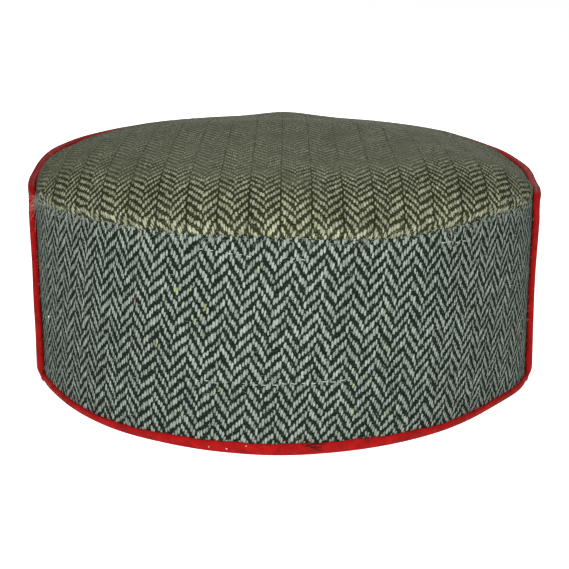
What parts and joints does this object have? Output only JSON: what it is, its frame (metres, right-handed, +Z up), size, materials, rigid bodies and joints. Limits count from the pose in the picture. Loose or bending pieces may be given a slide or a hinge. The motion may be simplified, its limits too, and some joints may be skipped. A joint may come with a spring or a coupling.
{
  "type": "himachali cap",
  "caption": "Round herringbone tweed cap with a flat crown, a flap turned up round the front and red tape binding on its edges.",
  "frame": {"origin": "middle of the whole cap's plan, on the surface that its rim stands on", "axes": "+Z up through the crown, +Y towards the front with the turned-up flap, -Y towards the plain back"},
  "size_m": [0.185, 0.1878, 0.08],
  "materials": {
    "wall_tweed": "grey-green herringbone wool tweed, matt",
    "crown_tweed": "olive-grey herringbone wool tweed, matt",
    "flap_tweed": "grey-green herringbone wool tweed, matt",
    "red_tape": "red cotton tape, matt"
  },
  "bodies": {
    "root": {"side_wall": "wall_tweed", "crown": "crown_tweed", "front_flap": "flap_tweed", "rim_binding": "red_tape", "flap_binding": "red_tape"}
  },
  "joints": []
}
